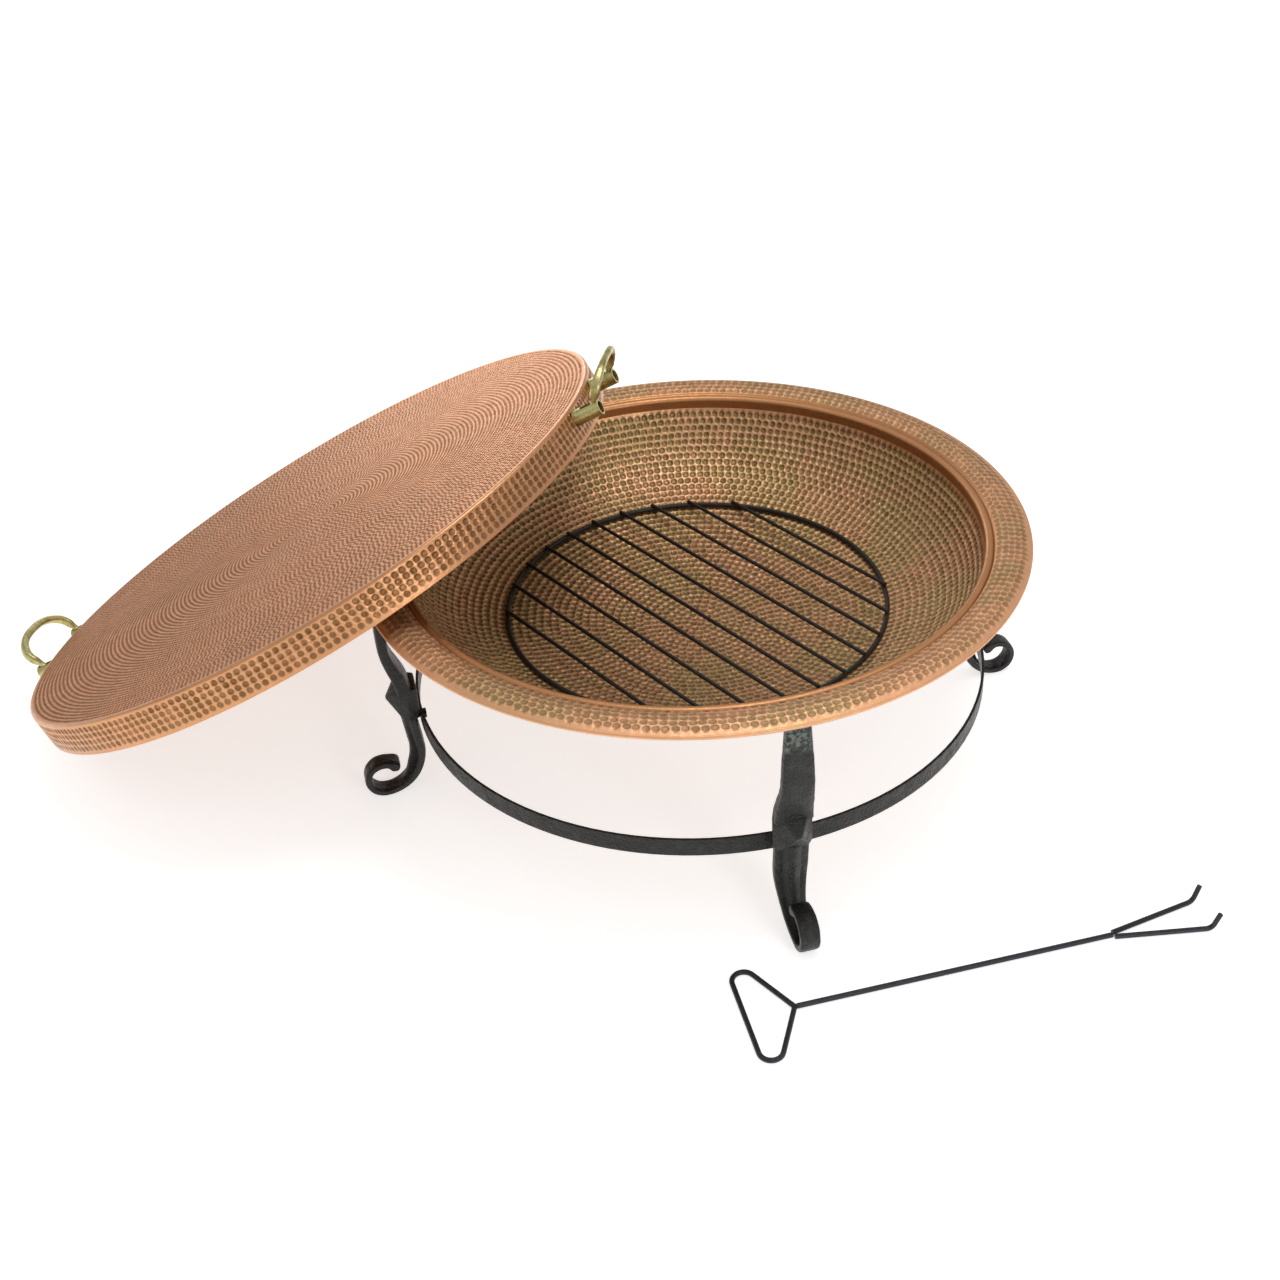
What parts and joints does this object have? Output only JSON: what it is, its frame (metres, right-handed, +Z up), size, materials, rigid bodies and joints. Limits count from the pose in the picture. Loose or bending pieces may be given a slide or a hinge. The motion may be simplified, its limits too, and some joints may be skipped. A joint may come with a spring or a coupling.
{
  "type": "fire pit",
  "caption": "Hammered copper fire bowl on a forged scroll-leg stand, with a wire grate, a copper lid with drop handles leaning on the rim, and a forked wire poker beside it.",
  "frame": {"origin": "on the floor, under the middle of the box round the whole set as it stands", "axes": "+Z up; +X from the leaning lid towards the bowl; the poker lies on the -Y side"},
  "size_m": [1.7303, 1.0018, 0.5152],
  "materials": {
    "forged_iron": "black satin, hammered by hand",
    "bowl_copper": "hammered copper sheet with a brown and olive patina",
    "lid_copper": "hammered bright copper sheet, lacquered",
    "handle_brass": "aged yellow brass, satin",
    "grate_wire": "black satin wire",
    "poker_wire": "black satin wire"
  },
  "bodies": {
    "stand": {"band_ring": "forged_iron", "bowl_ring": "forged_iron", "ring_bolts": "forged_iron", "right_leg_arm": "forged_iron", "right_leg_knuckle": "forged_iron", "right_leg_scroll": "forged_iron", "back_leg_arm": "forged_iron", "back_leg_knuckle": "forged_iron", "back_leg_scroll": "forged_iron", "left_leg_arm": "forged_iron", "left_leg_knuckle": "forged_iron", "left_leg_scroll": "forged_iron", "front_leg_arm": "forged_iron", "front_leg_knuckle": "forged_iron", "front_leg_scroll": "forged_iron"},
    "bowl": {"bowl_pan": "bowl_copper"},
    "grate": {"grate_ring": "grate_wire", "grate_bar_1": "grate_wire", "grate_bar_2": "grate_wire", "grate_bar_3": "grate_wire", "grate_bar_4": "grate_wire", "grate_bar_5": "grate_wire", "grate_bar_6": "grate_wire", "grate_bar_7": "grate_wire", "grate_bar_8": "grate_wire", "grate_bar_9": "grate_wire", "grate_bar_10": "grate_wire"},
    "lid": {"lid_plate": "lid_copper", "lid_skirt": "lid_copper", "lid_rivets": "handle_brass", "left_front_boss": "handle_brass", "left_back_boss": "handle_brass", "left_bail_pins": "handle_brass", "right_front_boss": "handle_brass", "right_back_boss": "handle_brass", "right_bail_pins": "handle_brass"},
    "left_bail": {"left_bail": "handle_brass"},
    "right_bail": {"right_bail": "handle_brass"},
    "poker": {"poker_loop": "poker_wire", "poker_shaft": "poker_wire", "poker_prong_a": "poker_wire", "poker_prong_b": "poker_wire"}
  },
  "joints": [
    {"name": "bowl_lift", "type": "slide", "parent": "stand", "child": "bowl", "axis": [0, 0, 1], "range_m": [0, 0.16]},
    {"name": "grate_lift", "type": "slide", "parent": "bowl", "child": "grate", "axis": [0, 0, 1], "range_m": [0, 0.14]},
    {"name": "lid_lift", "type": "slide", "parent": "bowl", "child": "lid", "axis": [0, 0, 1], "range_m": [0, 0.35]},
    {"name": "right_bail_swing", "type": "hinge", "parent": "lid", "child": "right_bail", "pos_m": [0.00192, 0.1442, 0.45232], "axis": [0.1715, -0.981, 0.0912], "range_deg": [0, 67]},
    {"name": "left_bail_swing", "type": "hinge", "parent": "lid", "child": "left_bail", "pos_m": [-0.80791, -0.0374, 0.02172], "axis": [-0.1715, 0.981, -0.0912], "range_deg": [0, 55]},
    {"name": "poker_lift", "type": "slide", "parent": "stand", "child": "poker", "axis": [0, 0, 1], "range_m": [0, 0.2]}
  ]
}
